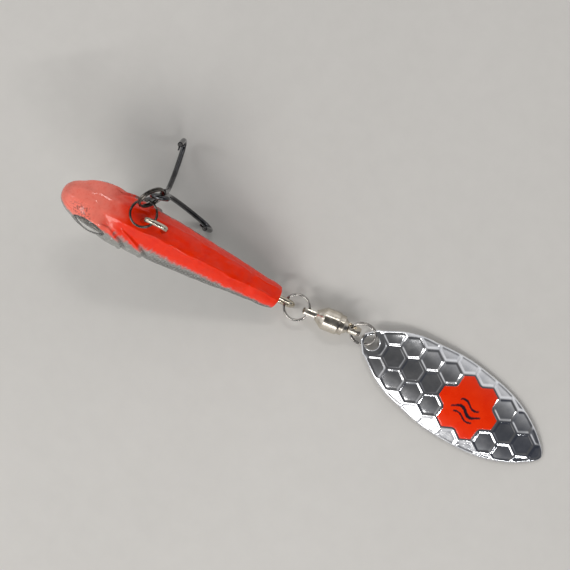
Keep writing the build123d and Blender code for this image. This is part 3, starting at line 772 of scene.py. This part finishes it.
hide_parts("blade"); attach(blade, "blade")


def make_enamel():
    """Orange enamel filling the flower-shaped tray, with a plain dark mark."""
    from mathutils.geometry import delaunay_2d_cdt
    P = flower_outline(0.03)
    n = len(P); rim = []
    for a, b in zip(P, np.roll(P, -1, 0)):
        m = max(2, int(np.linalg.norm(b - a) / 0.12))
        rim += [tuple(a + (b - a) * i / m) for i in range(m)]
    R_ = np.array(rim); nr = len(R_)
    G = np.array([(u, w) for u in np.arange(HU - 7, HU + 7, 0.15) for w in np.arange(-6.6, 6.6, 0.15)])
    ok = inside_poly(G[:, 0], G[:, 1], P) & (poly_dist(G[:, 0], G[:, 1], P) > 0.09)
    pts = rim + [tuple(p) for p in G[ok]]
    res = delaunay_2d_cdt([Vector(p) for p in pts], [(i, (i + 1) % nr) for i in range(nr)], [], 1, 1e-6)
    co = np.array([tuple(p) for p in res[0]]); tri = np.array([tuple(f) for f in res[2] if len(f) == 3])
    u, w = co[:, 0], co[:, 1]
    d = poly_dist(u, w, P)
    z = crown(u, w) - DEPTH + 0.075 * (1 - (1 - np.clip(d / 0.35, 0, 1)) ** 2) + 0.012
    zb = crown(u, w) - DEPTH - 0.05
    top, bot = blade_pt(u, w, z), blade_pt(u, w, zb)
    a, b, c_ = co[tri[:, 0]], co[tri[:, 1]], co[tri[:, 2]]
    ar = (b[:, 0] - a[:, 0]) * (c_[:, 1] - a[:, 1]) - (b[:, 1] - a[:, 1]) * (c_[:, 0] - a[:, 0])
    tri[ar < 0] = tri[ar < 0][:, ::-1]
    k_ = len(co)
    F = [tuple(t) for t in tri] + [tuple((t + k_)[::-1]) for t in tri]
    E = {(int(t[i]), int(t[(i + 1) % 3])) for t in tri for i in range(3)}
    F += [(p, p + k_, q + k_, q) for p, q in E if (q, p) not in E]
    ob = new_obj("blade_enamel", np.vstack([top, bot]), F)
    # a plain wave between two shorter, thinner waves, printed dark, in place of any maker's sign
    x, y = u - HU, w
    wave = np.abs(y + 0.9 + 0.55 * np.sin(x * 1.35)) < 0.28 + 0.10 * np.cos(x * 0.9)
    mark = (wave & (np.abs(x) < 3.1)) | (np.abs(y + 2.1 + 0.4 * np.sin(x * 1.35)) < 0.2) & (np.abs(x) < 2.2) | (np.abs(y - 0.6 + 0.5 * np.sin(x * 1.35)) < 0.2) & (np.abs(x) < 2.2)
    md = mark.astype(float)
    attr(ob, "mark", np.r_[md, 0 * md])
    return ob


enamel = make_enamel()
k = N("orange_enamel_gloss")
v = k.coords()
f = k.noise(v, 380, 4.0)
enc = k.ramp(f, [(0.3, srgb(238, 44, 0)), (0.7, srgb(246, 54, 2))])
k.l(k.mix(k.attr("mark").outputs["Fac"], enc, (0.02, 0.012, 0.02)), k.b.inputs["Base Color"])
k.l(k.rng(f, 0.3, 0.7, 0.22, 0.36), k.b.inputs["Roughness"])
k.set(Coat_Weight=0.5, Coat_Roughness=0.06, Specular_IOR_Level=0.1)
k.l(k.bump(k.noise(v, 900, 3.0), 0.10, 0.00004), k.b.inputs["Normal"])
set_mat(enamel, k.m)
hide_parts("blade_emblem"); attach(enamel, "blade")

# --------------------------------------------------------- carried CAD nodes
for name, mat in (("wire_frame", mat_wire), ("hook_ring_inner", mat_black), ("hook_ring_outer", mat_black),
                  ("hook_pair", mat_hook), ("hook_single", mat_hook), ("hook_braze", mat_braze),
                  ("tail_split_ring", mat_ring), ("blade_split_ring", mat_ring), ("swivel_barrel", mat_swivel),
                  ("swivel_cap", mat_swivel), ("swivel_stem", mat_swivel), ("swivel_balls", mat_ball)):
    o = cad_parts[name]
    set_mat_ok = len(o.material_slots)
    if set_mat_ok == 0:
        o.data.materials.append(mat)
    for sl in o.material_slots:
        sl.material = mat

# ----------------------------------------------------------------- floor, light
fl = new_obj("table_top", [(-1.2, -1.2, 0), (1.2, -1.2, 0), (1.2, 1.2, 0), (-1.2, 1.2, 0)], [(0, 1, 2, 3)])
k = N("table_pale_matte")
v = k.coords()
f1 = k.noise(v, 14, 5.0, 0.55); f2 = k.noise(v, 260, 4.0, 0.6)
base = k.ramp(f1, [(0.3, srgb(211, 208, 203)), (0.7, srgb(216, 213, 208))])
k.l(k.mix(k.rng(f2, 0.3, 0.7, 0.0, 0.06), base, (0.35, 0.33, 0.31)), k.b.inputs["Base Color"])
k.set(Roughness=0.62)
k.l(k.bump(f2, 0.08, 0.0001), k.b.inputs["Normal"])
set_mat(fl, k.m)

EX = np.array([0.895, 0.446, 0.0]); EY = np.array([-0.446, 0.895, 0.0])   # the picture's right and up


def area(name, pos_img, size, power, col=(1, 1, 1), aim=(0, 0, 0)):
    """Area light at picture coordinates (right, up, towards the viewer) in metres."""
    L = bpy.data.lights.new(name, "AREA")
    L.shape = "RECTANGLE"; L.size, L.size_y = size
    L.energy = power; L.color = col
    o = bpy.data.objects.new(name, L)
    bpy.context.scene.collection.objects.link(o)
    p = Vector(EX * pos_img[0] + EY * pos_img[1] + np.array([0, 0, pos_img[2]]))
    o.location = p
    d = Vector(EX * aim[0] + EY * aim[1] + np.array([0, 0, aim[2]])) - p
    o.rotation_euler = d.to_track_quat("-Z", "Y").to_euler()
    return o


area("key_lower_left", (-0.34, -0.46, 0.46), (0.34, 0.28), 1.75, (1.0, 0.985, 0.96))
area("fill_left", (-0.60, 0.16, 0.50), (0.10, 0.30), 0.5, (0.95, 0.98, 1.0))
area("strip_below", (0.15, -0.66, 0.50), (0.46, 0.03), 1.5, (1.0, 1.0, 1.0))
area("soft_top", (0.10, 0.55, 0.75), (0.30, 0.10), 0.9, (1.0, 0.99, 0.97))

w = bpy.data.worlds.new("studio")
bpy.context.scene.world = w
w.use_nodes = True
t = w.node_tree
bg = t.nodes["Background"]
tc = t.nodes.new("ShaderNodeTexCoord")
dirn = Vector(EX * 0.62 + EY * -0.55 + np.array([0, 0, 0.56])).normalized()
dot = t.nodes.new("ShaderNodeVectorMath"); dot.operation = "DOT_PRODUCT"
dot.inputs[1].default_value = dirn
t.links.new(tc.outputs["Generated"], dot.inputs[0])
mr = t.nodes.new("ShaderNodeMapRange")
for i, val in zip((1, 2, 3, 4), (0.62, 0.95, 0.0, 1.0)):
    mr.inputs[i].default_value = val
t.links.new(dot.outputs["Value"], mr.inputs[0])
zen = t.nodes.new("ShaderNodeVectorMath"); zen.operation = "DOT_PRODUCT"
zen.inputs[1].default_value = (0, 0, 1)
t.links.new(tc.outputs["Generated"], zen.inputs[0])
zr = t.nodes.new("ShaderNodeValToRGB")
el = zr.color_ramp.elements
el[0].position, el[0].color = 0.0, (0.62, 0.62, 0.625, 1)
el[1].position, el[1].color = 1.0, (0.105, 0.105, 0.107, 1)
for p_, c_ in ((0.35, 0.94), (0.60, 0.70), (0.80, 0.31), (0.92, 0.14)):
    e_ = el.new(p_); e_.color = (c_, c_, c_ * 1.01, 1)
t.links.new(zen.outputs["Value"], zr.inputs[0])
mxw = t.nodes.new("ShaderNodeMix"); mxw.data_type = "RGBA"
t.links.new(mr.outputs[0], mxw.inputs[0])
t.links.new(zr.outputs["Color"], mxw.inputs[6])
mxw.inputs[7].default_value = (0.05, 0.055, 0.07, 1)
t.links.new(mxw.outputs[2], bg.inputs["Color"])
bg.inputs["Strength"].default_value = 1.0

# ---------------------------------------------------------------------- camera
cam = bpy.data.cameras.new("camera")
co = bpy.data.objects.new("camera", cam)
bpy.context.scene.collection.objects.link(co)
cam.sensor_width = 36.0
cam.lens = 36.0 * 300.0 / (570 * 0.196)
cam.clip_start, cam.clip_end = 0.01, 10
co.location = Vector(row((0, 0, 300.0)))
co.rotation_euler = (0, 0, math.atan2(0.446, 0.895))
bpy.context.scene.camera = co
bpy.context.scene.view_settings.view_transform = "Standard"
